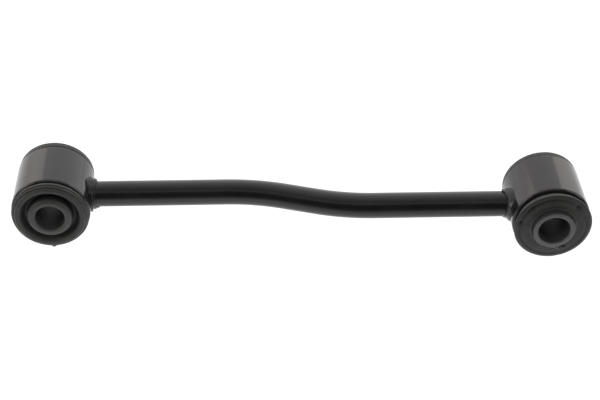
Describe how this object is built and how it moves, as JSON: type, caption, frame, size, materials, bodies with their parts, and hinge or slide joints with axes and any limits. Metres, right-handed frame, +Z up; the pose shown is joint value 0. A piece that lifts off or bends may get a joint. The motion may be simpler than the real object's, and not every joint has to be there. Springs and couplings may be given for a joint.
{
  "type": "sway bar link",
  "caption": "Cranked round rod with a rubber-bushed eye welded to each end; its inner steel sleeves are clamped by bolts to a sway bar and to a suspension arm.",
  "frame": {"origin": "centre of the left eye's bore, halfway along it", "axes": "+X from the left eye along the rod to the right eye, Y along both bores with -Y towards the viewer, +Z up; the link lies on a floor at z = -17.5 mm"},
  "size_m": [0.2584, 0.0496, 0.035],
  "materials": {
    "rod_paint": "satin black paint",
    "eye_paint": "gloss black paint",
    "weld_paint": "satin black paint over a rippled weld",
    "bush_rubber": "moulded matt rubber",
    "sleeve_steel": "dark phosphated steel"
  },
  "bodies": {
    "link": {"link_rod": "rod_paint", "eye_tube_left": "eye_paint", "weld_bead_left": "weld_paint", "eye_tube_right": "eye_paint", "weld_bead_right": "weld_paint"},
    "bush_left": {"rubber_bush_left": "bush_rubber"},
    "sleeve_left": {"inner_sleeve_left": "sleeve_steel"},
    "bush_right": {"rubber_bush_right": "bush_rubber"},
    "sleeve_right": {"inner_sleeve_right": "sleeve_steel"}
  },
  "joints": [
    {"name": "left_tilt", "type": "hinge", "parent": "link", "child": "bush_left", "pos_m": [0, 0, 0], "axis": [0, 0, 1], "range_deg": [-5, 5], "stiffness_Nm_per_rad": 430, "deforming": ["rubber_bush_left"]},
    {"name": "left_twist", "type": "hinge", "parent": "bush_left", "child": "sleeve_left", "pos_m": [0, 0, 0], "axis": [0, 1, 0], "range_deg": [-20, 20], "stiffness_Nm_per_rad": 80, "deforming": ["rubber_bush_left"]},
    {"name": "right_tilt", "type": "hinge", "parent": "link", "child": "bush_right", "pos_m": [0.2234, -0.0117, 0], "axis": [0, 0, 1], "range_deg": [-5, 5], "stiffness_Nm_per_rad": 430, "deforming": ["rubber_bush_right"]},
    {"name": "right_twist", "type": "hinge", "parent": "bush_right", "child": "sleeve_right", "pos_m": [0.2234, -0.0117, 0], "axis": [0, 1, 0], "range_deg": [-20, 20], "stiffness_Nm_per_rad": 80, "deforming": ["rubber_bush_right"]}
  ]
}
